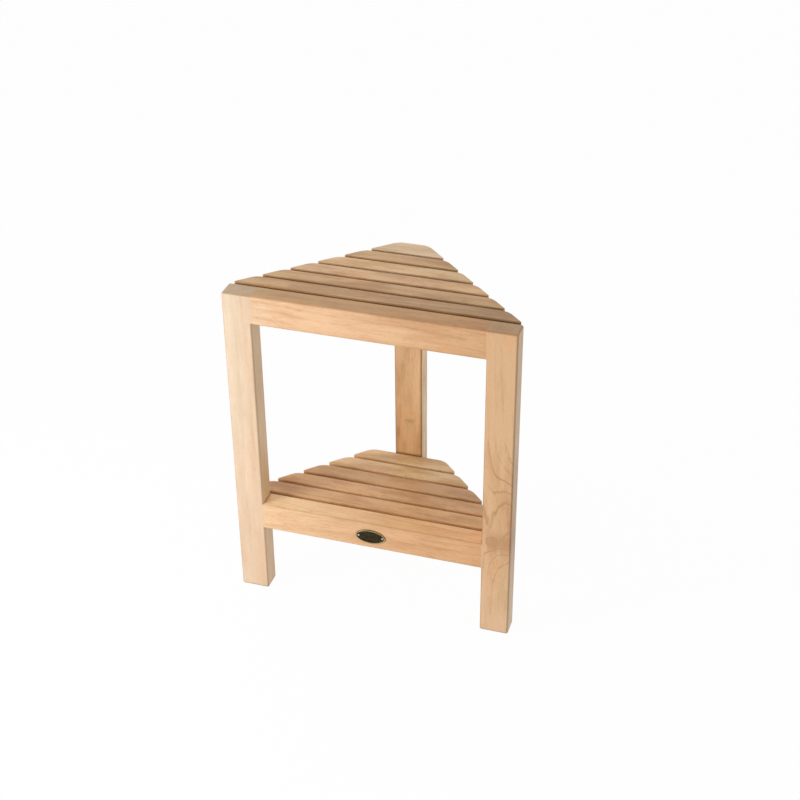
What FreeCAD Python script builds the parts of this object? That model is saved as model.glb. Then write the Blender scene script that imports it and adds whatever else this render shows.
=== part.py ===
import FreeCAD, Part
import os
from collections import namedtuple
from math import sqrt

# Three-legged corner stool of solid teak, with a slatted top and a slatted shelf.
# The front lies along X and faces -Y, the corner of the walls is towards +Y, and the floor is Z = 0.
# The origin is the middle of the stool's plan box, on the floor. Millimetres.

Vector = FreeCAD.Vector

# Overall size
stool_width = 380.0
stool_height = 458.0
shelf_height = 143.0

# Legs and front rails, cut from one stock
leg_width = 39.0
leg_depth = 28.0
rail_height = 40.5
edge_radius = 3.0

# Tenons on the front rails
tenon_thickness = 10.0
tenon_shoulder = 6.0
tenon_length = 22.0
mortise_end_gap = 0.8

# Slats behind the front rails, and on the top a corner slat that covers the back leg
slat_count = 5
slat_gap = 3.8
slat_thickness = 14.0
shelf_end_gap = 0.5
corner_slat_lap = 2.5
top_slat_overhang = 1.0
shelf_front_inset = 0.8
shelf_back_overhang = 3.8
slat_tip_radius = 1.8
slat_corner_radius = 22.0
slat_edge_radius = 1.6
slat_underside_radius = 0.8

# Side rails along the walls, under the slats
side_rail_thickness = 14.0
side_rail_inset = 6.0
side_rail_edge_radius = 1.5

# Dowels in the side rails' ends and in the back leg's end
dowel_diameter = 6.0
dowel_spacing = 12.0
dowel_depth_in_leg = 9.0
dowel_depth_in_rail = 12.0
dowel_chamfer = 0.6
corner_dowel_spacing = 10.0
corner_dowel_depth = 14.0
corner_dowel_cover = 4.5

# Screws from below, through the side rails into the slats
screw_diameter = 4.0
screw_point_length = 4.0
screw_head_diameter = 8.0
screw_head_height = 2.6
screw_head_radius = 0.9
screw_recess_length = 4.4
screw_recess_width = 1.1
screw_recess_depth = 1.5
screw_cover = 3.5
counterbore_diameter = 9.0
counterbore_depth = 8.0

# Oval plate on the shelf's front rail, held by two tacks
badge_length = 40.5
badge_height = 21.0
badge_rise = 19.0
badge_thickness = 0.9
badge_rim_width = 1.3
badge_rim_height = 0.5
badge_rim_radius = 0.2
tack_head_diameter = 2.8
tack_head_height = 0.45
tack_head_radius = 0.4
tack_shank_diameter = 1.2
tack_shank_length = 8.0
tack_edge_distance = 1.0

# Room left around tenons, dowels, screws and tacks in their holes
joint_clearance = 0.12

# Places that follow from the sizes above
half_width = stool_width / 2
leg_inner_x = half_width - leg_width
wall_sum = half_width + leg_depth
stool_depth = wall_sum - leg_width / 2
badge_stand_out = badge_thickness + badge_rim_height
front_y = -(stool_depth - badge_stand_out) / 2
front_leg_back_y = front_y + leg_depth
back_y = front_y + stool_depth
back_leg_front_y = back_y - leg_depth
corner_slat_front_y = back_leg_front_y - corner_slat_lap
top_slat_pitch = (corner_slat_front_y - slat_gap - front_leg_back_y) / slat_count
shelf_slat_pitch = (back_leg_front_y - shelf_end_gap - front_leg_back_y) / slat_count
slat_width = top_slat_pitch - slat_gap
side_rail_middle = -side_rail_inset - side_rail_thickness / 2
side_rail_height = rail_height - slat_thickness
badge_z = shelf_height - rail_height + badge_rise
tack_x = badge_length / 2 - badge_rim_width - tack_edge_distance - tack_head_diameter / 2
touching = 1e-4

# The shelf's last slat lies against the back leg, so slats of the same width are spread a little wider there.
# Overhang is how far the slats' ends stand outside a line along the walls, at the front and at the back leg.
Deck = namedtuple("Deck", "name top_z slat_pitch front_overhang back_overhang")
top_deck = Deck("top", stool_height, top_slat_pitch, top_slat_overhang, top_slat_overhang)
shelf_deck = Deck("shelf", shelf_height, shelf_slat_pitch, -shelf_front_inset, shelf_back_overhang)
decks = [top_deck, shelf_deck]


def wall_x(y, outward):
    """Half the stool's breadth at y, on a line along the walls, moved outward from the legs' corners."""
    return wall_sum + outward * sqrt(2) - (y - front_y)


def wall_y(x, outward):
    """Where the same line stands at a distance x from the middle."""
    return front_y + wall_sum + outward * sqrt(2) - x


def mirrored(shape):
    return shape.mirror(Vector(0, 0, 0), Vector(1, 0, 0))


def both_sides(solids):
    return solids + [mirrored(solid) for solid in solids]


def rounded(solid, radius, wanted):
    """The solid with every edge rounded whose bounding box is wanted."""
    return solid.makeFillet(radius, [edge for edge in solid.Edges if wanted(edge.BoundBox)])


def upright_at(y):
    """Tells by its bounding box whether an edge is an upright one at y."""
    return lambda box: box.ZLength > touching and abs(box.Center.y - y) < touching


def prism(corners, bottom_z, height):
    points = [Vector(x, y, bottom_z) for x, y in corners]
    outline = Part.makePolygon(points + points[:1])
    return Part.Face(outline).extrude(Vector(0, 0, height))


def cut_all(solid, tools):
    for tool in tools:
        solid = solid.cut(tool)
    return solid


def rail_bottom(deck):
    return deck.top_z - rail_height


def slat_bottom(deck):
    return deck.top_z - slat_thickness


# Front rails and their tenons

def rail_bar(start_x, end_x, deck):
    corner = Vector(start_x, front_y, rail_bottom(deck))
    bar = Part.makeBox(end_x - start_x, leg_depth, rail_height, corner)
    return rounded(bar, edge_radius, lambda box: box.XLength > touching)


def left_tenon(deck, side_room, end_room):
    """Tenon on the left end of a front rail, or with room around it, the mortise for it."""
    thickness = tenon_thickness + 2 * side_room
    height = rail_height - 2 * tenon_shoulder + 2 * side_room
    length = tenon_length + end_room
    start_y = front_y + leg_depth / 2 - thickness / 2
    start_z = rail_bottom(deck) + tenon_shoulder - side_room
    return Part.makeBox(length, thickness, height, Vector(-leg_inner_x - length, start_y, start_z))


def front_rail(deck):
    rail = rail_bar(-leg_inner_x, leg_inner_x, deck)
    for tenon in both_sides([left_tenon(deck, 0, 0)]):
        rail = rail.fuse(tenon)
    return rail


# Side rails, their dowels and the screws that hold the slats

def left_side_rail(deck):
    outer = -side_rail_inset
    inner = outer - side_rail_thickness
    end_x = leg_width / 2
    corners = [
        (-wall_x(front_leg_back_y, outer), front_leg_back_y),
        (-wall_x(front_leg_back_y, inner), front_leg_back_y),
        (-end_x, wall_y(end_x, inner)),
        (-end_x, wall_y(end_x, outer)),
    ]
    bottom = rail_bottom(deck)
    rail = prism(corners, bottom, side_rail_height)
    rail = rounded(
        rail,
        side_rail_edge_radius,
        lambda box: box.ZMax < bottom + touching and box.XLength > leg_width and box.YLength > leg_depth,
    )
    holes = left_side_rail_dowels(deck, joint_clearance)
    holes += [screw_hole(x, y, deck) for x, y in screw_points(deck) if x < 0]
    return cut_all(rail, holes)


def dowel(start, direction, length, room):
    """Chamfered dowel, or with room around it, the plain hole for it."""
    radius = dowel_diameter / 2 + room
    pin = Part.makeCylinder(radius, length + 2 * room, start - direction * room, direction)
    if room:
        return pin
    return pin.makeChamfer(dowel_chamfer, [edge for edge in pin.Edges if edge.Closed])


def left_side_rail_dowels(deck, room):
    """Two dowels, one above the other, in each end of the left side rail, in line with the rail."""
    along = Vector(1, 1, 0).normalize()
    end_x = leg_width / 2
    middle_z = rail_bottom(deck) + side_rail_height / 2
    length = dowel_depth_in_leg + dowel_depth_in_rail
    pins = []
    for z in (middle_z - dowel_spacing / 2, middle_z + dowel_spacing / 2):
        front_joint = Vector(-wall_x(front_leg_back_y, side_rail_middle), front_leg_back_y, z)
        back_joint = Vector(-end_x, wall_y(end_x, side_rail_middle), z)
        pins.append(dowel(front_joint - along * dowel_depth_in_leg, along, length, room))
        pins.append(dowel(back_joint - along * dowel_depth_in_rail, along, length, room))
    return pins


def corner_slat_dowels(room):
    """Upright dowels from the back leg's end into the last top slat."""
    start_z = slat_bottom(top_deck) - corner_dowel_depth
    length = top_deck.top_z - corner_dowel_cover - start_z
    start = Vector(-corner_dowel_spacing / 2, back_y - leg_depth / 2, start_z)
    return both_sides([dowel(start, Vector(0, 0, 1), length, room)])


def screw_points(deck):
    """One screw on each side rail for every slat."""
    points = []
    for slat_front in slat_fronts(deck):
        y = slat_front + slat_width / 2
        x = wall_x(y, side_rail_middle)
        points += [(-x, y), (x, y)]
    return points


def screw_seat(deck):
    return rail_bottom(deck) + counterbore_depth


def screw(x, y, deck):
    seat = screw_seat(deck)
    head_bottom = seat - screw_head_height
    point_z = deck.top_z - screw_cover
    radius = screw_diameter / 2
    head = Part.makeCylinder(screw_head_diameter / 2, screw_head_height, Vector(x, y, head_bottom))
    head = rounded(head, screw_head_radius, lambda box: box.ZMax < head_bottom + touching)
    recess = (screw_recess_length, screw_recess_width)
    for length, width in (recess, reversed(recess)):
        corner = Vector(x - length / 2, y - width / 2, head_bottom)
        head = head.cut(Part.makeBox(length, width, screw_recess_depth, corner))
    shank = Part.makeCylinder(radius, point_z - screw_point_length - seat, Vector(x, y, seat))
    point = Part.makeCone(radius, 0, screw_point_length, Vector(x, y, point_z - screw_point_length))
    return head.fuse(shank).fuse(point).removeSplitter()


def screw_hole(x, y, deck):
    """Counterbore in the side rail and a hole that goes on into the slat."""
    bottom = rail_bottom(deck)
    counterbore = Part.makeCylinder(counterbore_diameter / 2, counterbore_depth, Vector(x, y, bottom))
    depth = rail_height - screw_cover + joint_clearance
    hole = Part.makeCylinder(screw_diameter / 2 + joint_clearance, depth, Vector(x, y, bottom))
    return counterbore.fuse(hole)


# Slats

def slat_fronts(deck):
    """Front edge of each slat, evenly spread behind the front rail."""
    slat_backs = [front_leg_back_y + number * deck.slat_pitch for number in range(1, slat_count + 1)]
    return [slat_back - slat_width for slat_back in slat_backs]


def half_length(deck, y):
    """Half a slat's length at y, out to the straight line that the deck's slats end on."""
    back_share = (y - front_leg_back_y) / (back_leg_front_y - front_leg_back_y)
    return wall_x(y, deck.front_overhang + back_share * (deck.back_overhang - deck.front_overhang))


def board(deck, slat_front, slat_back):
    """Board with its ends cut along the walls and all its edges rounded."""
    front_half = half_length(deck, slat_front)
    back_half = half_length(deck, slat_back)
    corners = [
        (-front_half, slat_front),
        (front_half, slat_front),
        (back_half, slat_back),
        (-back_half, slat_back),
    ]
    bottom = slat_bottom(deck)
    solid = prism(corners, bottom, slat_thickness)
    solid = rounded(solid, slat_tip_radius, upright_at(slat_front))
    solid = rounded(solid, slat_corner_radius, upright_at(slat_back))
    solid = rounded(solid, slat_edge_radius, lambda box: box.ZMin > deck.top_z - touching)
    return rounded(solid, slat_underside_radius, lambda box: box.ZMax < bottom + touching)


def slat(deck, slat_front):
    slat_back = slat_front + slat_width
    holes = [screw_hole(x, y, deck) for x, y in screw_points(deck) if slat_front < y < slat_back]
    return cut_all(board(deck, slat_front, slat_back), holes)


def corner_slat():
    return cut_all(board(top_deck, corner_slat_front_y, back_y), corner_slat_dowels(joint_clearance))


# Legs

def left_front_leg():
    leg = Part.makeBox(leg_width, leg_depth, stool_height, Vector(-half_width, front_y, 0))
    leg = leg.makeFillet(edge_radius, leg.Edges)
    for deck in decks:
        # The leg's inner edges stay square where a rail meets it, so the joint is flush
        leg = leg.fuse(rail_bar(-leg_inner_x - leg_width / 2, -leg_inner_x, deck))
    leg = leg.removeSplitter()
    for deck in decks:
        leg = leg.cut(left_tenon(deck, joint_clearance, mortise_end_gap))
        leg = cut_all(leg, left_side_rail_dowels(deck, joint_clearance))
    return leg


def back_leg():
    height = slat_bottom(top_deck)
    leg = Part.makeBox(leg_width, leg_depth, height, Vector(-leg_width / 2, back_leg_front_y, 0))
    leg = rounded(leg, edge_radius, lambda box: box.ZMin < height - touching)
    for deck in decks:
        leg = cut_all(leg, both_sides(left_side_rail_dowels(deck, joint_clearance)))
    return cut_all(leg, corner_slat_dowels(joint_clearance))


# Oval plate and its tacks, on the shelf's front rail

def oval(length, height, start_y, thickness):
    """Upright oval disc whose back is at start_y, thickening towards the front."""
    centre = Vector(0, start_y, badge_z)
    curve = Part.Ellipse(centre + Vector(length / 2, 0, 0), centre + Vector(0, 0, height / 2), centre)
    return Part.Face(Part.Wire(curve.toShape())).extrude(Vector(0, -thickness, 0))


def left_tack_shank(room):
    start = Vector(-tack_x, front_y - badge_thickness, badge_z)
    return Part.makeCylinder(tack_shank_diameter / 2 + room, tack_shank_length + room, start, Vector(0, 1, 0))


def badge_plate():
    plate = oval(badge_length, badge_height, front_y, badge_stand_out)
    plate = rounded(plate, badge_rim_radius, lambda box: box.YMax < front_y - badge_stand_out + touching)
    inner_length = badge_length - 2 * badge_rim_width
    inner_height = badge_height - 2 * badge_rim_width
    plate = plate.cut(oval(inner_length, inner_height, front_y - badge_thickness, badge_rim_height))
    return cut_all(plate, both_sides([left_tack_shank(joint_clearance)]))


def badge_tacks():
    face_y = front_y - badge_thickness
    head_front = face_y - tack_head_height
    start = Vector(-tack_x, head_front, badge_z)
    head = Part.makeCylinder(tack_head_diameter / 2, tack_head_height, start, Vector(0, 1, 0))
    head = rounded(head, tack_head_radius, lambda box: box.YMax < head_front + touching)
    return both_sides([head.fuse(left_tack_shank(0))])


def export(name, solids):
    shape = solids[0] if len(solids) == 1 else Part.makeCompound(solids)
    shape.exportStep("parts/" + name + ".step")


os.makedirs("parts", exist_ok=True)

left_leg = left_front_leg()
export("left_front_leg", [left_leg])
export("right_front_leg", [mirrored(left_leg)])
export("back_leg", [back_leg()])

for deck in decks:
    rail = front_rail(deck)
    if deck is shelf_deck:
        rail = cut_all(rail, both_sides([left_tack_shank(joint_clearance)]))
    export(deck.name + "_front_rail", [rail])
    side_rail = left_side_rail(deck)
    export(deck.name + "_left_side_rail", [side_rail])
    export(deck.name + "_right_side_rail", [mirrored(side_rail)])
    export(deck.name + "_side_rail_dowels", both_sides(left_side_rail_dowels(deck, 0)))
    export(deck.name + "_slat_screws", [screw(x, y, deck) for x, y in screw_points(deck)])
    for number, slat_front in enumerate(slat_fronts(deck), 1):
        export(deck.name + "_slat_" + str(number), [slat(deck, slat_front)])

export("top_corner_slat", [corner_slat()])
export("corner_slat_dowels", corner_slat_dowels(0))
export("badge_plate", [badge_plate()])
export("badge_tacks", badge_tacks())
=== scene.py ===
from collections import namedtuple
from math import cos, pi, radians, sin

import bmesh
import bpy
from mathutils import Matrix, Vector


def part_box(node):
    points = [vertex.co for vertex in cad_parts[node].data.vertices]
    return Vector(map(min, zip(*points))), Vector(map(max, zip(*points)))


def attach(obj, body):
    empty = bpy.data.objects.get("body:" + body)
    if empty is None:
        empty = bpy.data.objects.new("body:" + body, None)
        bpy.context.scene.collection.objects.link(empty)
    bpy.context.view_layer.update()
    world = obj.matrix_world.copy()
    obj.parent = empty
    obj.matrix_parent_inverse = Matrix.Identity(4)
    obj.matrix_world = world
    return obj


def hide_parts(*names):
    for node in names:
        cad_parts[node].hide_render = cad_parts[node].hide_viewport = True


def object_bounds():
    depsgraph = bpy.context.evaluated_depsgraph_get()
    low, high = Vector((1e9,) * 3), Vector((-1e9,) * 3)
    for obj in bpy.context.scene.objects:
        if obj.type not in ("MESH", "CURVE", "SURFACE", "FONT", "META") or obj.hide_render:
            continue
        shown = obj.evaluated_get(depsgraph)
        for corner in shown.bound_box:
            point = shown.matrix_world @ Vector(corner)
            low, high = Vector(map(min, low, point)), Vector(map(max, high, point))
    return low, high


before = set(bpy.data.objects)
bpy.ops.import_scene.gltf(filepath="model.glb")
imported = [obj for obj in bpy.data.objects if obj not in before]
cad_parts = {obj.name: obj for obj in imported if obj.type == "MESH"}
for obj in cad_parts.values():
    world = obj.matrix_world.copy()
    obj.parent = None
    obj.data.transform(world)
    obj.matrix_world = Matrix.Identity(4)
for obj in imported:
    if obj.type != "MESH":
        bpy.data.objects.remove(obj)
cad_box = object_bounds()

MILLIMETRE = 0.001


# Short calls that add and join shader nodes

def plug(tree, socket, value):
    """Join a socket to another node's output, or set it to a plain value."""
    if isinstance(value, bpy.types.NodeSocket):
        tree.links.new(value, socket)
    else:
        socket.default_value = value


def add_node(tree, kind, inputs, **settings):
    node = tree.nodes.new(kind)
    for setting, value in settings.items():
        setattr(node, setting, value)
    for socket, value in inputs.items():
        plug(tree, node.inputs[socket], value)
    return node


def calculate(tree, operation, first, second=0.0):
    return add_node(tree, "ShaderNodeMath", {0: first, 1: second}, operation=operation).outputs[0]


def times(tree, first, second):
    return calculate(tree, "MULTIPLY", first, second)


def plus(tree, *values):
    total = values[0]
    for value in values[1:]:
        total = calculate(tree, "ADD", total, value)
    return total


def combine(tree, operation, first, second):
    node = add_node(tree, "ShaderNodeVectorMath", {0: first, 1: second}, operation=operation)
    return node.outputs["Vector"]


def length_of(tree, vector):
    return add_node(tree, "ShaderNodeVectorMath", {0: vector}, operation="LENGTH").outputs["Value"]


def dot(tree, first, second):
    node = add_node(tree, "ShaderNodeVectorMath", {0: first, 1: second}, operation="DOT_PRODUCT")
    return node.outputs["Value"]


def spread(tree, value, low, high, to_low=0.0, to_high=1.0):
    """Map a range of values to another range, clamped and eased at both ends."""
    inputs = {"Value": value, "From Min": low, "From Max": high, "To Min": to_low, "To Max": to_high}
    return add_node(tree, "ShaderNodeMapRange", inputs, interpolation_type="SMOOTHSTEP").outputs["Result"]


def noise(tree, vector, detail=2.0, roughness=0.5):
    inputs = {"Vector": vector, "Scale": 1.0, "Detail": detail, "Roughness": roughness}
    return add_node(tree, "ShaderNodeTexNoise", inputs)


def random_by(tree, value):
    return add_node(tree, "ShaderNodeTexWhiteNoise", {"W": value}, noise_dimensions="1D").outputs["Value"]


def mix_colour(tree, factor, first, second, blend="MIX"):
    node = add_node(tree, "ShaderNodeMix", {}, data_type="RGBA", blend_type=blend)
    plug(tree, node.inputs[0], factor)
    plug(tree, node.inputs[6], first)
    plug(tree, node.inputs[7], second)
    return node.outputs[2]


def new_finish(name):
    """A material with one Principled shader, and its node tree and shader."""
    material = bpy.data.materials.new(name)
    material.use_nodes = True
    tree = material.node_tree
    return material, tree, tree.nodes["Principled BSDF"]


def give_bump(tree, shader, height, depth, strength):
    bump = add_node(tree, "ShaderNodeBump", {"Height": height, "Distance": depth, "Strength": strength})
    plug(tree, shader.inputs["Normal"], bump.outputs["Normal"])


# Teak

Tone = namedtuple("Tone", "pale deep")
LATE_WOOD_SHADE = (0.74, 0.64, 0.54)


def teak_tone(*early_wood):
    """Early wood of this colour, and late wood that is darker and browner."""
    late_wood = [part * shade for part, shade in zip(early_wood, LATE_WOOD_SHADE)]
    return Tone((*early_wood, 1), (*late_wood, 1))


CREAM = teak_tone(0.865, 0.66, 0.475)
BISQUE = teak_tone(0.96, 0.70, 0.44)
MAIZE = teak_tone(1.0, 0.685, 0.375)
WHEAT = teak_tone(0.95, 0.655, 0.39)
PEACH = teak_tone(0.87, 0.565, 0.34)
HONEY = teak_tone(0.87, 0.55, 0.30)
AMBER = teak_tone(0.82, 0.50, 0.25)
FAWN = teak_tone(0.805, 0.53, 0.312)
RUSSET = teak_tone(0.78, 0.455, 0.22)
TAN = teak_tone(0.77, 0.48, 0.235)

# Brown pores, and shades that multiply a board's tone
PORE_BROWN = (0.20, 0.10, 0.045, 1)
PORE_SHARE = 0.25
BLUSH_TINT = (1.02, 0.94, 0.88, 1)
OLIVE_TINT = (0.95, 0.98, 0.92, 1)
CUT_END_SHADE = (0.70, 0.69, 0.64, 1)
# Painted shade along rounded edges
PAINTED_EDGE_SHADE = (0.50, 0.42, 0.34, 1)
# Painted shade in the crevices and gaps between boards
PAINTED_CREVICE_SHADE = (0.23, 0.15, 0.08, 1)
PLAIN = (1, 1, 1)

# Where on a board a shade starts, is full or has gone: as shares of its length and its width, and by how
# squarely its surface faces along the grain, up or to the right
NEAR_END_FADES = 0.06
NEAR_END_GONE = 0.17
RIGHT_HALF_STARTS = 0.3
RIGHT_HALF_FULL = 0.9
CUT_END_STARTS = 0.6
CUT_END_FULL = 0.97
FACING_STARTS = 0.5
FACING_FULL = 0.95

# An edge starts where the sine of twice the turn from one face to the next is this
EDGE_STARTS = 0.40

# How far a crevice reaches, and how open it is where its painted shade is darkest and where there is none
CREVICE_REACH = 6 * MILLIMETRE
CREVICE_SAMPLES = 6
CREVICE_CLOSED = 0.25
CREVICE_OPEN = 0.85

# The way that the grain runs, as the turn of a board's own frame, whose X axis follows the grain
UPRIGHT = (0.0, -90.0, 0.0)
ACROSS = (0.0, 0.0, 0.0)
LEFT_DIAGONAL = (0.0, 0.0, 45.0)
RIGHT_DIAGONAL = (0.0, 0.0, -45.0)

# Patterns in the wood: their repeats per metre along the grain and across it, the part of the noise's range
# that they spread over 0 to 1, and its detail
Pattern = namedtuple("Pattern", "along across low high detail")
RAGGED = Pattern(25.0, 420.0, 0.0, 1.0, 2.0)
PATCHY = Pattern(7.0, 60.0, 0.3, 0.65, 2.0)
FIBRE = Pattern(24.0, 480.0, 0.28, 0.72, 4.0)
FLECK = Pattern(95.0, 600.0, 0.52, 0.72, 2.0)
CLOUD = Pattern(14.0, 60.0, 0.30, 0.70, 3.0)
PORES = Pattern(150.0, 2100.0, 0.64, 0.74, 1.0)
BLUSH = Pattern(11.0, 40.0, 0.50, 0.72, 2.0)
OLIVE = Pattern(12.0, 40.0, 0.50, 0.72, 2.0)
BLUSH_SHIFT = (7, 3, 1)
OLIVE_SHIFT = (3, 5, 2)

# How the log sways: repeats per metre, and how far
SWAY_ALONG = 3.0
SWAY_ACROSS = 14.0
SWAY_REACH = 14 * MILLIMETRE
NOISE_MEAN = (0.5, 0.5, 0.5)

# A knot's place, its reach and how far it pushes the rings aside, in millimetres, and how dark it is
Knot = namedtuple("Knot", "place reach lift depth")

# Rings are ragged by so many millimetres, and calm away from the knots of a board that has some
RING_RAGGEDNESS = 1.5
CALM_RINGS = 0.3
LATE_WOOD_ENDS = 0.92
FAINTEST_YEAR = 0.3
FAINTEST_PATCH = 0.35

# How deep the tone is on average and at its limits, and the mean of an even pattern and of a sparse one
MEAN_DEPTH = 0.45
LEAST_DEPTH = -0.2
MOST_DEPTH = 1.4
EVEN_MEAN = 0.5
SPARSE_MEAN = 0.2

# Roughness and relief of the bare wood
SMOOTHEST_TEAK = 0.32
FIBRE_ROUGHNESS = 0.14
PORE_ROUGHNESS = 0.15
PORE_HEIGHT = -1.5
LATE_WOOD_HEIGHT = 0.6
GRAIN_RELIEF = 0.12 * MILLIMETRE
GRAIN_STRENGTH = 0.35


def grain_direction(grain):
    """The unit vector along the grain for one of the ways above."""
    turned = Matrix.Rotation(radians(grain[2]), 3, "Z") @ Matrix.Rotation(radians(grain[1]), 3, "Y")
    return turned @ Vector((1, 0, 0))


def grain_frame(tree, coordinates, node, grain, lean, heart):
    """Coordinates with X along the grain and the log's heart on the X axis."""
    low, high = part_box(node)
    mapping = add_node(tree, "ShaderNodeMapping", {}, vector_type="TEXTURE")
    mapping.inputs["Location"].default_value = (low + high) / 2 + Vector(heart) * MILLIMETRE
    mapping.inputs["Rotation"].default_value = [radians(turn + tilt) for turn, tilt in zip(grain, lean)]
    plug(tree, mapping.inputs["Vector"], coordinates.outputs["Object"])
    return mapping.outputs["Vector"]


def stretched(tree, place, along, across):
    """A place in the grain's frame, scaled for so many repeats per metre along the grain and across it."""
    return combine(tree, "MULTIPLY", place, (along, across, across))


def grain_noise(tree, place, pattern):
    """A pattern that follows the grain, from 0 to 1."""
    drawn = noise(tree, stretched(tree, place, pattern.along, pattern.across), pattern.detail)
    return spread(tree, drawn.outputs["Fac"], pattern.low, pattern.high)


def nearness(tree, coordinates, knot):
    """1 in the middle of a knot, falling to 0 around it."""
    centre = [value * MILLIMETRE for value in knot.place]
    closeness = [1 / (value * MILLIMETRE) for value in knot.reach]
    away = combine(tree, "SUBTRACT", coordinates.outputs["Object"], centre)
    away = combine(tree, "MULTIPLY", away, closeness)
    return calculate(tree, "EXPONENT", times(tree, dot(tree, away, away), -1.0))


def growth_rings(tree, coordinates, wandering, ring_width, late_share, knots):
    """Rings round the heart that darken to a sharp line, some years and some places more than others.

    A knot pushes the rings aside, and they are darkest around it.
    """
    radius = length_of(tree, combine(tree, "MULTIPLY", wandering, (0, 1, 1)))
    crowded = CALM_RINGS if knots else 1.0
    darkened = 0.0
    for knot in knots:
        near = nearness(tree, coordinates, knot)
        radius = plus(tree, radius, times(tree, near, knot.lift * MILLIMETRE))
        crowded = plus(tree, crowded, near)
        darkened = plus(tree, darkened, times(tree, near, knot.depth))
    ragged = grain_noise(tree, wandering, RAGGED)
    rings = calculate(tree, "DIVIDE", radius, ring_width * MILLIMETRE)
    rings = plus(tree, rings, times(tree, ragged, RING_RAGGEDNESS / ring_width))
    part_of_year = calculate(tree, "FRACT", rings)
    year = random_by(tree, calculate(tree, "FLOOR", rings))
    rise = spread(tree, part_of_year, LATE_WOOD_ENDS - late_share, LATE_WOOD_ENDS)
    drop = spread(tree, part_of_year, LATE_WOOD_ENDS, 1.0, 1.0, 0.0)
    by_year = spread(tree, year, 0.0, 1.0, FAINTEST_YEAR, 1.0)
    by_patch = spread(tree, grain_noise(tree, wandering, PATCHY), 0.0, 1.0, FAINTEST_PATCH, 1.0)
    strength = times(tree, by_year, by_patch)
    lines = times(tree, times(tree, rise, drop), times(tree, strength, crowded))
    return plus(tree, lines, darkened) if knots else lines


def rounded_edges(tree, normal_parts, grain):
    """1 on a board's rounded edges and 0 on its faces."""
    up = calculate(tree, "ABSOLUTE", normal_parts["Z"])
    level = calculate(tree, "SQRT", calculate(tree, "SUBTRACT", 1.0, times(tree, up, up)))
    edge = times(tree, times(tree, up, level), 2.0)
    if grain == UPRIGHT:
        corner = times(tree, times(tree, normal_parts["X"], normal_parts["Y"]), 2.0)
        edge = calculate(tree, "MAXIMUM", edge, calculate(tree, "ABSOLUTE", corner))
    return spread(tree, edge, EDGE_STARTS, 1.0)


def tint_along(tree, colour, coordinates, node, grain, right_half, near_end, far_end, settles):
    """Change a board's tone towards its right half, its near end and its far end."""
    low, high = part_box(node)
    rightward = dot(tree, coordinates.outputs["Object"], (1, 0, 0))
    starts, full = (low.lerp(high, share).x for share in (RIGHT_HALF_STARTS, RIGHT_HALF_FULL))
    rightward = spread(tree, rightward, starts, full)
    along = grain_direction(grain)
    further = dot(tree, coordinates.outputs["Object"], along)
    fades, gone = (low.lerp(high, share).dot(along) for share in (NEAR_END_FADES, NEAR_END_GONE))
    nearer = spread(tree, further, fades, gone, 1.0, 0.0)
    further = spread(tree, further, low.dot(along), low.lerp(high, settles).dot(along))
    for share, tint in ((rightward, right_half), (nearer, near_end), (further, far_end)):
        colour = mix_colour(tree, share, colour, (*tint, 1), "MULTIPLY")
    return colour


def grey_ends_and_paint_light_and_shade(tree, colour, coordinates, grain, edges, cut_ends, upper_tone_and_painted_light, right_painted_light):
    """Grey the cut ends, paint shade on edges and in crevices, and tint upper faces with tone and painted
    light and right faces with painted light.
    """
    normal = coordinates.outputs["Normal"]
    normal_parts = add_node(tree, "ShaderNodeSeparateXYZ", {0: normal}).outputs
    across = calculate(tree, "ABSOLUTE", dot(tree, normal, grain_direction(grain)))
    cut_end = times(tree, spread(tree, across, CUT_END_STARTS, CUT_END_FULL), cut_ends)
    # Painted shade darkens the rounded edges
    edge = times(tree, rounded_edges(tree, normal_parts, grain), edges)
    # Painted shade darkens the crevices and gaps between boards
    openness = add_node(tree, "ShaderNodeAmbientOcclusion", {"Distance": CREVICE_REACH},
                        samples=CREVICE_SAMPLES)
    crevice_shading = spread(tree, openness.outputs["AO"], CREVICE_CLOSED, CREVICE_OPEN, 1.0, 0.0)
    for share, shade in ((cut_end, CUT_END_SHADE), (edge, PAINTED_EDGE_SHADE), (crevice_shading, PAINTED_CREVICE_SHADE)):
        colour = mix_colour(tree, share, colour, shade, "MULTIPLY")
    # Painted light and shade tint the upper and right faces, with some of the wood's own tone on the upper
    # ones
    for way, tint in (("Z", upper_tone_and_painted_light), ("X", right_painted_light)):
        facing = spread(tree, normal_parts[way], FACING_STARTS, FACING_FULL)
        colour = mix_colour(tree, facing, colour, (*tint, 1), "MULTIPLY")
    return colour


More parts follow.
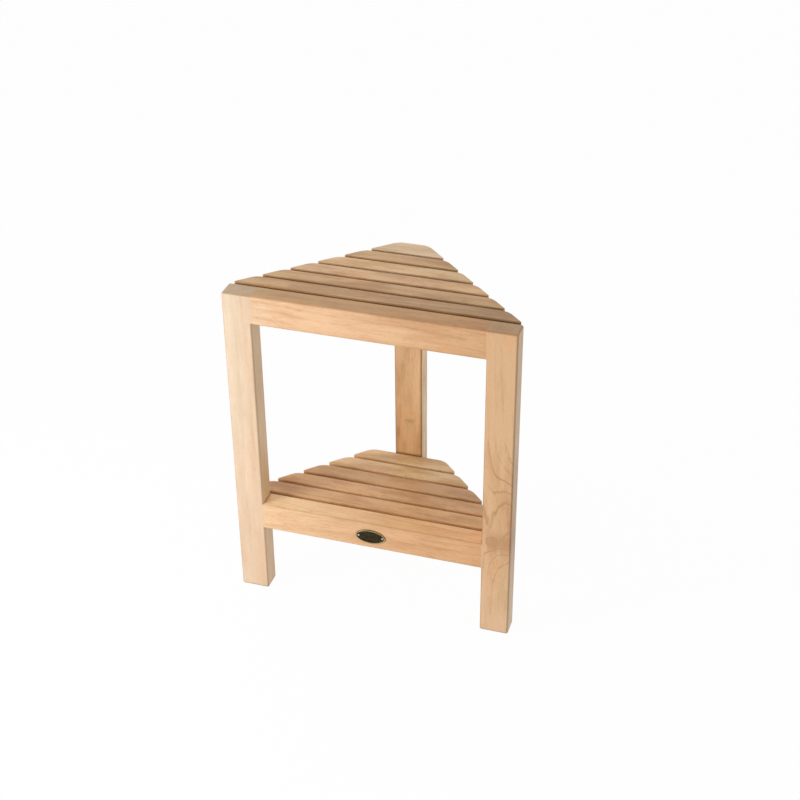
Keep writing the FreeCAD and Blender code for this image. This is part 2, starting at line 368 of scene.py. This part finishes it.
def teak(node, tone, grain, lean=(0, 0, 0), heart=(0, 0, 0), ring_width=4.5, late_share=0.55, figure=0.5,
         fibres=0.3, flecks=0.4, clouds=0.6, patches=1.0, edges=0.3, cut_ends=1.0, upper_tone_and_painted_light=PLAIN,
         right_painted_light=PLAIN, right_half=PLAIN, near_end=PLAIN, far_end=PLAIN, settles=1.0, knots=()):
    """Unfinished teak cut from its own stretch of log.

    Its near end is its left or its lower one, past the tenon. Its far end is its right or its upper one,
    and its tone settles there after this share of its length.
    """
    material, tree, shader = new_finish("teak_" + node)
    coordinates = tree.nodes.new("ShaderNodeTexCoord")
    place = grain_frame(tree, coordinates, node, grain, lean, heart)

    # The log is never quite round or straight
    sway = noise(tree, stretched(tree, place, SWAY_ALONG, SWAY_ACROSS)).outputs["Color"]
    sway = combine(tree, "SUBTRACT", sway, NOISE_MEAN)
    sway = combine(tree, "MULTIPLY", sway, (0, SWAY_REACH, SWAY_REACH))
    wandering = combine(tree, "ADD", place, sway)

    late_wood = growth_rings(tree, coordinates, wandering, ring_width, late_share, knots)
    fibre, fleck, cloud, pores = (grain_noise(tree, wandering, pattern)
                                  for pattern in (FIBRE, FLECK, CLOUD, PORES))
    blush = grain_noise(tree, combine(tree, "ADD", wandering, BLUSH_SHIFT), BLUSH)
    olive = grain_noise(tree, combine(tree, "ADD", wandering, OLIVE_SHIFT), OLIVE)

    # Each pattern's mean is taken off, so that a strong pattern doesn't change the tone
    depth = plus(tree, times(tree, late_wood, figure), times(tree, fibre, fibres),
                 times(tree, fleck, flecks), times(tree, cloud, clouds))
    depth = plus(tree, depth, MEAN_DEPTH - EVEN_MEAN * (fibres + clouds) - SPARSE_MEAN * (figure + flecks))
    depth = calculate(tree, "MAXIMUM", calculate(tree, "MINIMUM", depth, MOST_DEPTH), LEAST_DEPTH)
    colour = mix_colour(tree, depth, tone.pale, tone.deep)
    colour = mix_colour(tree, times(tree, pores, PORE_SHARE), colour, PORE_BROWN)

    # Redder and greener patches, then the tone's changes over the board
    colour = mix_colour(tree, times(tree, blush, patches), colour, BLUSH_TINT, "MULTIPLY")
    colour = mix_colour(tree, times(tree, olive, patches), colour, OLIVE_TINT, "MULTIPLY")
    colour = tint_along(tree, colour, coordinates, node, grain, right_half, near_end, far_end, settles)
    colour = grey_ends_and_paint_light_and_shade(tree, colour, coordinates, grain, edges, cut_ends, upper_tone_and_painted_light, right_painted_light)
    plug(tree, shader.inputs["Base Color"], colour)

    roughness = plus(tree, times(tree, fibre, FIBRE_ROUGHNESS), times(tree, pores, PORE_ROUGHNESS),
                     SMOOTHEST_TEAK)
    plug(tree, shader.inputs["Roughness"], roughness)
    height = plus(tree, fibre, times(tree, pores, PORE_HEIGHT), times(tree, late_wood, LATE_WOOD_HEIGHT))
    give_bump(tree, shader, height, GRAIN_RELIEF, GRAIN_STRENGTH)
    return material


def dress(node, material):
    """Give a CAD node its material."""
    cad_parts[node].material_slots[0].material = material


# Each board's tone and cut

# A branch that left at the right leg's outer edge, and two small eyes below it
RIGHT_LEG_KNOTS = [Knot((192, -98, 183), (30, 40, 75), 34, 0.3),
                   Knot((165, -98, 148), (11, 40, 14), 9, 0.3),
                   Knot((188, -98, 152), (10, 40, 12), 8, 0.3)]

# A few short dark marks low on the back leg
BACK_LEG_KNOTS = [Knot((2, 72, 199), (6, 20, 3), 5, 1.2),
                  Knot((-15, 72, 179), (3, 20, 7), 5, 1.0),
                  Knot((-5, 72, 158), (3, 20, 8), 4, 1.0)]


def dress_frame():
    """Legs and front rails, each from its own stretch of log."""
    dress("left_front_leg", teak(
        "left_front_leg", CREAM, UPRIGHT, lean=(0, -1, 0), heart=(-40, 90, -900), ring_width=7.0,
        figure=0.25, fibres=0.12, flecks=0.1, clouds=0.3, patches=0.3, edges=0.5, cut_ends=0.6,
        upper_tone_and_painted_light=(1.02, 0.93, 0.82), right_painted_light=(1.04, 1.07, 0.97), right_half=(0.965, 0.905, 0.845),
        far_end=(0.985, 1.05, 1.11)))
    dress("right_front_leg", teak(
        "right_front_leg", FAWN, UPRIGHT, lean=(0, -1.7, 0), heart=(44, 38, 0), ring_width=5.5,
        late_share=0.16, figure=2.3, fibres=0.25, flecks=0.25, edges=0.6, right_painted_light=(0.83, 0.87, 0.84),
        far_end=(0.92, 0.865, 0.79), settles=0.35, knots=RIGHT_LEG_KNOTS))
    dress("back_leg", teak(
        "back_leg", AMBER, UPRIGHT, lean=(0, 2, 0), heart=(60, 50, 1700), flecks=0.3, clouds=0.7, edges=1.0,
        right_painted_light=(0.93, 1.06, 1.05), far_end=(1.22, 1.30, 1.42), knots=BACK_LEG_KNOTS))
    dress("top_front_rail", teak(
        "top_front_rail", PEACH, ACROSS, lean=(0, 1, 1), heart=(800, 60, -80), ring_width=9.0,
        figure=0.3, flecks=0.35, upper_tone_and_painted_light=(0.82, 0.75, 0.57), near_end=(0.97, 1.07, 1.17),
        far_end=(0.89, 0.80, 0.69)))
    dress("shelf_front_rail", teak(
        "shelf_front_rail", WHEAT, ACROSS, lean=(0, -1.8, 0), heart=(-900, 60, -70), ring_width=12.0,
        late_share=0.3, figure=0.35, clouds=0.4, patches=0.4, edges=0.5, upper_tone_and_painted_light=(1.20, 1.24, 1.21),
        far_end=(0.83, 0.69, 0.58), settles=0.75))


def dress_side_rails():
    """Bearers along the walls, from two stretches of log."""
    for side, grain in (("left", LEFT_DIAGONAL), ("right", RIGHT_DIAGONAL)):
        for level, stretch in (("top", 500), ("shelf", 3600)):
            node = f"{level}_{side}_side_rail"
            dress(node, teak(node, TAN, grain, heart=(stretch, stretch, -70)))


# Millimetres between the slats along the log, and how much further from its heart each next top slat lies
TOP_LOG_STEP = 900
TOP_HEART_STEP = 12
SHELF_LOG_STEP = 700

# Top slats turn warmer as they deepen
TOP_WARMTH = (1.0, 0.97, 0.92)

# Two small knots in the shelf's second slat
SHELF_KNOTS = [Knot((35, -25, 143), (16, 10, 20), 7, 0.3),
               Knot((111, -26, 143), (11, 8, 20), 6, 0.3)]


def dress_slats():
    """Top and shelf slats, front to back, by tone and the right end's share of it, and the corner slat.

    A share below 1 darkens the tone towards the right, as painted shade for light that falls off across the
    stool.
    """
    # Each share darkens the slat's right end as painted shade
    top = ((TAN, 0.73), (TAN, 0.86), (HONEY, 0.99), (MAIZE, 0.81), (TAN, 0.92))
    for place, (tone, right) in enumerate(top):
        node = f"top_slat_{place + 1}"
        right_end = [right * part for part in TOP_WARMTH]
        dress(node, teak(node, tone, ACROSS, lean=(0, 0.5, 1.0 - place), figure=0.4, fibres=0.25, flecks=0.6,
                         clouds=1.1, edges=0.8, ring_width=6.0, far_end=right_end,
                         heart=(TOP_LOG_STEP * place, 70, -50 - TOP_HEART_STEP * place)))
    shelf = ((RUSSET, 0.98), (AMBER, 0.87), (RUSSET, 0.75), (MAIZE, 0.77), (MAIZE, 0.80))
    for place, (tone, right) in enumerate(shelf):
        node = f"shelf_slat_{place + 1}"
        dress(node, teak(node, tone, ACROSS, lean=(0, 1, place - 2.0), flecks=0.6, clouds=1.1, edges=0.1,
                         heart=(-SHELF_LOG_STEP * place, -80, -90), ring_width=6.0, far_end=(right,) * 3,
                         knots=SHELF_KNOTS if place == 1 else ()))
    dress("top_corner_slat", teak(
        "top_corner_slat", BISQUE, ACROSS, lean=(0, 1, 1), heart=(5000, 60, -90), ring_width=6.0, figure=0.3,
        fibres=0.2, patches=0.5, edges=0.6))


# Dowels, screws and the badge's metals

BEECH_PALE = (0.72, 0.53, 0.34, 1)
BEECH_DEEP = (0.58, 0.39, 0.22, 1)
BEECH_REPEATS = (900.0, 900.0, 900.0)
BEECH_TONE_RANGE = (0.35, 0.7)
BEECH_ROUGH_RANGE = (0.2, 0.8)
BEECH_SMOOTHEST = 0.5
BEECH_ROUGHEST = 0.7
BEECH_RELIEF = 0.1 * MILLIMETRE
STEEL_BRIGHT = (0.62, 0.61, 0.59, 1)
STEEL_DULL = (0.46, 0.45, 0.44, 1)
NICKEL_BRIGHT = (0.66, 0.64, 0.60, 1)
NICKEL_DULL = (0.48, 0.46, 0.42, 1)
BRASS_BRIGHT = (0.56, 0.42, 0.20, 1)
BRASS_DULL = (0.36, 0.26, 0.12, 1)
BRASS_DARK = (0.060, 0.046, 0.024, 1)
BRASS_DARKEST = (0.030, 0.023, 0.012, 1)

# Repeats per metre of tarnish and scratches, the part of the noise's range that each of them uses, and how
# deep a scratch is
FITTING_TARNISH = (260.0, 260.0, 260.0)
FITTING_SCRATCHES = (700.0, 700.0, 6000.0)
PLATE_TARNISH = (300.0, 300.0, 300.0)
PLATE_SCRATCHES = (500.0, 500.0, 5000.0)
TARNISH_RANGE = (0.32, 0.68)
SCRATCH_RANGE = (0.3, 0.7)
SCRATCH_RELIEF = 0.02 * MILLIMETRE
WEAR_STRENGTH = 0.3


def dowel_beech():
    """Pale beech for the hidden dowels."""
    material, tree, shader = new_finish("beech_dowels")
    coordinates = tree.nodes.new("ShaderNodeTexCoord")
    flecks = combine(tree, "MULTIPLY", coordinates.outputs["Object"], BEECH_REPEATS)
    flecks = noise(tree, flecks, detail=3.0).outputs["Fac"]
    colour = mix_colour(tree, spread(tree, flecks, *BEECH_TONE_RANGE), BEECH_PALE, BEECH_DEEP)
    plug(tree, shader.inputs["Base Color"], colour)
    roughness = spread(tree, flecks, *BEECH_ROUGH_RANGE, BEECH_SMOOTHEST, BEECH_ROUGHEST)
    plug(tree, shader.inputs["Roughness"], roughness)
    give_bump(tree, shader, flecks, BEECH_RELIEF, WEAR_STRENGTH)
    return material


def worn_metal(name, tarnish_repeats, scratch_repeats, rough_low, rough_high):
    """Metal with fine scratches, and its tree, its shader and the cloudy tarnish for its colour."""
    material, tree, shader = new_finish(name)
    shader.inputs["Metallic"].default_value = 1.0
    place = tree.nodes.new("ShaderNodeTexCoord").outputs["Object"]
    tarnish = noise(tree, combine(tree, "MULTIPLY", place, tarnish_repeats), detail=4.0, roughness=0.6)
    scratches = noise(tree, combine(tree, "MULTIPLY", place, scratch_repeats), detail=3.0, roughness=0.7)
    roughness = spread(tree, scratches.outputs["Fac"], *SCRATCH_RANGE, rough_low, rough_high)
    plug(tree, shader.inputs["Roughness"], roughness)
    give_bump(tree, shader, scratches.outputs["Fac"], SCRATCH_RELIEF, WEAR_STRENGTH)
    return material, tree, shader, spread(tree, tarnish.outputs["Fac"], *TARNISH_RANGE)


def fitting_metal(name, bright, dull, rough_low, rough_high):
    """One metal all over, for screws and tacks."""
    material, tree, shader, tarnish = worn_metal(name, FITTING_TARNISH, FITTING_SCRATCHES,
                                                 rough_low, rough_high)
    plug(tree, shader.inputs["Base Color"], mix_colour(tree, tarnish, bright, dull))
    return material


# Badge plate and its tacks

BADGE_SIDES = 128
RIM_WIDTH = 1.3 * MILLIMETRE
RIM_HEIGHT = 0.5 * MILLIMETRE
RIM_ROUNDING = 0.18 * MILLIMETRE
RIM_ROUNDING_STEPS = 3
RIM_LEAN = RIM_HEIGHT / 10
BORDER_MARGIN = 0.8 * MILLIMETRE
BORDER_GROOVE = 0.16 * MILLIMETRE
FIELD_DOME = 0.22 * MILLIMETRE
FIELD_RINGS = 6
TACK_SHANK_RADIUS = 0.6 * MILLIMETRE
TACK_HEAD_HEIGHT = 0.45 * MILLIMETRE
TACK_STEPS = 32
TACK_DOME_STEPS = 8
MERGE_WITHIN = MILLIMETRE / 1000
SMOOTH_BELOW = radians(50)


def darkened_brass():
    """Brass that is dark on the plate's field and rubbed bright on its rim."""
    material, tree, shader, tarnish = worn_metal("darkened_brass", PLATE_TARNISH, PLATE_SCRATCHES,
                                                 rough_low=0.30, rough_high=0.50)
    rim_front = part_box("badge_plate")[0].y
    backward = dot(tree, tree.nodes.new("ShaderNodeTexCoord").outputs["Object"], (0, 1, 0))
    raised = spread(tree, backward, rim_front, rim_front + RIM_HEIGHT / 2, 1.0, 0.0)
    dark = mix_colour(tree, tarnish, BRASS_DARK, BRASS_DARKEST)
    bright = mix_colour(tree, tarnish, BRASS_BRIGHT, BRASS_DULL)
    plug(tree, shader.inputs["Base Color"], mix_colour(tree, raised, dark, bright))
    return material


def show_piece(name, shape, material, stands_for):
    """Turn a finished shape into a piece that stands for a CAD node."""
    bmesh.ops.recalc_face_normals(shape, faces=shape.faces[:])
    mesh = bpy.data.meshes.new(name)
    shape.to_mesh(mesh)
    shape.free()
    mesh.shade_smooth()
    mesh.set_sharp_from_angle(angle=SMOOTH_BELOW)
    mesh.materials.append(material)
    piece = bpy.data.objects.new(name, mesh)
    bpy.context.scene.collection.objects.link(piece)
    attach(piece, "root")
    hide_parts(stands_for)


def make_badge_plate(material):
    """An oval plate with a rounded rim, a fine groove inside the rim and a slightly domed blank field."""
    low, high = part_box("badge_plate")
    middle = (low + high) / 2
    stretch = Matrix.Diagonal(((high.x - low.x) / 2, 1, (high.z - low.z) / 2, 1))
    lie = Matrix.Translation((middle.x, high.y, middle.z)) @ stretch @ Matrix.Rotation(radians(90), 4, "X")
    shape = bmesh.new()
    bmesh.ops.create_circle(shape, cap_ends=True, segments=BADGE_SIDES, radius=1.0, matrix=lie)
    raised = bmesh.ops.extrude_face_region(shape, geom=shape.faces[:], use_keep_orig=True)["geom"]
    field = [part for part in raised if isinstance(part, bmesh.types.BMFace)][0]
    bmesh.ops.translate(shape, verts=field.verts, vec=(0, low.y - high.y, 0))
    rim_edges = list(field.edges)

    def step(inward, outward):
        bmesh.ops.inset_individual(shape, faces=[field], thickness=inward, depth=outward,
                                   use_even_offset=True)

    step(RIM_WIDTH, 0.0)
    rim_edges += field.edges
    step(RIM_LEAN, -RIM_HEIGHT)
    step(BORDER_MARGIN, 0.0)
    step(BORDER_GROOVE, -BORDER_GROOVE)
    step(BORDER_GROOVE, BORDER_GROOVE)

    # Each ring of the dome rises less than the one outside it
    about_middle = Matrix.Translation(-middle)
    for ring in range(FIELD_RINGS):
        step(BORDER_GROOVE, 0.0)
        shrink = 1.0 - 1.0 / (FIELD_RINGS - ring + 1)
        bmesh.ops.scale(shape, verts=field.verts, vec=(shrink, 1, shrink), space=about_middle)
        rise = FIELD_DOME * (2 * (FIELD_RINGS - ring) - 1) / FIELD_RINGS ** 2
        bmesh.ops.translate(shape, verts=field.verts, vec=(0, -rise, 0))
    bmesh.ops.bevel(shape, geom=rim_edges, offset=RIM_ROUNDING, segments=RIM_ROUNDING_STEPS, profile=0.5,
                    affect="EDGES", material=-1)
    show_piece("oval_badge_plate", shape, material, "badge_plate")


def make_badge_tacks(material):
    """Two small domed tacks, one at each end of the plate."""
    low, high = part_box("badge_tacks")
    middle = (low + high) / 2
    head_radius = (high.z - low.z) / 2
    head_back = low.y + TACK_HEAD_HEIGHT
    shape = bmesh.new()
    for tack_x in (low.x + head_radius, high.x - head_radius):
        centre = Vector((tack_x, 0, middle.z))
        quarter = [pi / 2 * part / TACK_DOME_STEPS for part in range(TACK_DOME_STEPS + 1)]
        outline = [(head_radius * sin(turn), head_back - TACK_HEAD_HEIGHT * cos(turn)) for turn in quarter]
        outline += [(TACK_SHANK_RADIUS, head_back), (TACK_SHANK_RADIUS, high.y - TACK_SHANK_RADIUS)]
        outline.append((0, high.y))
        points = [shape.verts.new(centre + Vector((out, along, 0))) for out, along in outline]
        lines = [shape.edges.new(pair) for pair in zip(points, points[1:])]
        bmesh.ops.spin(shape, geom=points + lines, cent=centre, axis=(0, 1, 0), angle=2 * pi,
                       steps=TACK_STEPS, use_merge=True)
    bmesh.ops.remove_doubles(shape, verts=shape.verts[:], dist=MERGE_WITHIN)
    show_piece("domed_badge_tacks", shape, material, "badge_tacks")


dress_frame()
dress_side_rails()
dress_slats()
dowel_wood = dowel_beech()
for node in ("top_side_rail_dowels", "shelf_side_rail_dowels", "corner_slat_dowels"):
    dress(node, dowel_wood)
screw_steel = fitting_metal("stainless_steel", STEEL_BRIGHT, STEEL_DULL, rough_low=0.22, rough_high=0.42)
for node in ("top_slat_screws", "shelf_slat_screws"):
    dress(node, screw_steel)
make_badge_plate(darkened_brass())
make_badge_tacks(fitting_metal("nickel_tacks", NICKEL_BRIGHT, NICKEL_DULL, rough_low=0.2, rough_high=0.4))


# Floor, light and camera

def white_for_the_eye(tree):
    """1 for rays that show the background to the camera, in gloss or through glass, else 0."""
    path = tree.nodes.new("ShaderNodeLightPath")
    seen = calculate(tree, "MAXIMUM", path.outputs["Is Camera Ray"], path.outputs["Is Glossy Ray"])
    return calculate(tree, "MAXIMUM", seen, path.outputs["Is Transmission Ray"])


# Tall white walls all round, a little brighter at the left, which give way to a darker ceiling between these
# two sines of the angle upwards
WALL_LEVEL = 0.88
LEFT_WALL_GAIN = 0.17
CEILING_LEVEL = 0.54
WALLS_END = 0.35
CEILING_STARTS = 0.75


def set_world():
    world = bpy.data.worlds.new("white_studio")
    bpy.context.scene.world = world
    world.use_nodes = True
    tree = world.node_tree
    background = tree.nodes["Background"]
    background.inputs["Color"].default_value = (1, 1, 1, 1)
    direction = tree.nodes.new("ShaderNodeTexCoord").outputs["Generated"]
    leftward = dot(tree, direction, (-1, 0, 0))
    walls = plus(tree, WALL_LEVEL, times(tree, leftward, LEFT_WALL_GAIN))
    ceiling = spread(tree, dot(tree, direction, (0, 0, 1)), WALLS_END, CEILING_STARTS)
    darker = calculate(tree, "SUBTRACT", walls, CEILING_LEVEL)
    level = calculate(tree, "SUBTRACT", walls, times(tree, darker, ceiling))
    level = plus(tree, level, times(tree, white_for_the_eye(tree), calculate(tree, "SUBTRACT", 1.0, level)))
    plug(tree, background.inputs["Strength"], level)


FLOOR_HALF_WIDTH = 4.0
FLOOR_COLOUR = (0.9, 0.9, 0.9, 1)
FLOOR_WHITE_SHARE = 0.97


def lay_floor():
    mesh = bpy.data.meshes.new("floor")
    shape = bmesh.new()
    bmesh.ops.create_grid(shape, x_segments=1, y_segments=1, size=FLOOR_HALF_WIDTH)
    shape.to_mesh(mesh)
    shape.free()
    floor = bpy.data.objects.new("floor", mesh)
    bpy.context.scene.collection.objects.link(floor)
    material, tree, shader = new_finish("white_floor")
    shader.inputs["Base Color"].default_value = FLOOR_COLOUR
    shader.inputs["Roughness"].default_value = 1.0
    shader.inputs["Specular IOR Level"].default_value = 0.0
    glow = add_node(tree, "ShaderNodeEmission", {"Color": (1, 1, 1, 1), "Strength": 1.0})
    share = times(tree, white_for_the_eye(tree), FLOOR_WHITE_SHARE)
    mixed = add_node(tree, "ShaderNodeMixShader", {0: share, 1: shader.outputs[0], 2: glow.outputs[0]})
    plug(tree, tree.nodes["Material Output"].inputs["Surface"], mixed.outputs[0])
    mesh.materials.append(material)


# The lamp stands little higher than the stool's top, which it barely grazes
KEY_LAMP_PLACE = Vector((-0.85, -0.745, 0.58))
KEY_LAMP_WIDTH = 0.3
KEY_LAMP_LEVEL = 0.45


def hang_lamp(name, place, width, level):
    """A square lamp that looks at the stool; level 1 lights a facing surface as a white room would."""
    middle = (cad_box[0] + cad_box[1]) / 2
    way = place - middle
    light = bpy.data.lights.new(name, "AREA")
    light.size = width
    light.energy = level * (pi * way.length) ** 2
    lamp = bpy.data.objects.new(name, light)
    lamp.location = place
    lamp.rotation_mode = "QUATERNION"
    lamp.rotation_quaternion = way.to_track_quat("Z", "Y")
    bpy.context.scene.collection.objects.link(lamp)


# The camera stands where the photograph was taken, and its frame is square
FRAME_PIXELS = 800
FOCAL_PIXELS = 1550.94
CAMERA_YAW = 0.309144
CAMERA_PITCH = 0.557511
CAMERA_ROLL = -0.009120
CAMERA_DISTANCE = 2.17811
LOOKS_AT = Vector((-0.02291, 0.10674, 0.2079))
SENSOR_WIDTH = 36.0


def place_camera():
    data = bpy.data.cameras.new("camera")
    data.sensor_width = SENSOR_WIDTH
    data.lens = FOCAL_PIXELS / FRAME_PIXELS * SENSOR_WIDTH
    camera = bpy.data.objects.new("camera", data)
    bpy.context.scene.collection.objects.link(camera)
    flat = cos(CAMERA_PITCH)
    forward = Vector((-sin(CAMERA_YAW) * flat, cos(CAMERA_YAW) * flat, -sin(CAMERA_PITCH)))
    level_right = Vector((cos(CAMERA_YAW), sin(CAMERA_YAW), 0))
    level_up = level_right.cross(forward)
    right = cos(CAMERA_ROLL) * level_right + sin(CAMERA_ROLL) * level_up
    up = cos(CAMERA_ROLL) * level_up - sin(CAMERA_ROLL) * level_right
    stance = Matrix((right, up, -forward)).transposed().to_4x4()
    stance.translation = LOOKS_AT - forward * CAMERA_DISTANCE
    camera.matrix_world = stance
    bpy.context.scene.camera = camera


set_world()
lay_floor()
hang_lamp("key_lamp", KEY_LAMP_PLACE, KEY_LAMP_WIDTH, KEY_LAMP_LEVEL)
place_camera()
bpy.context.scene.view_settings.view_transform = "Standard"
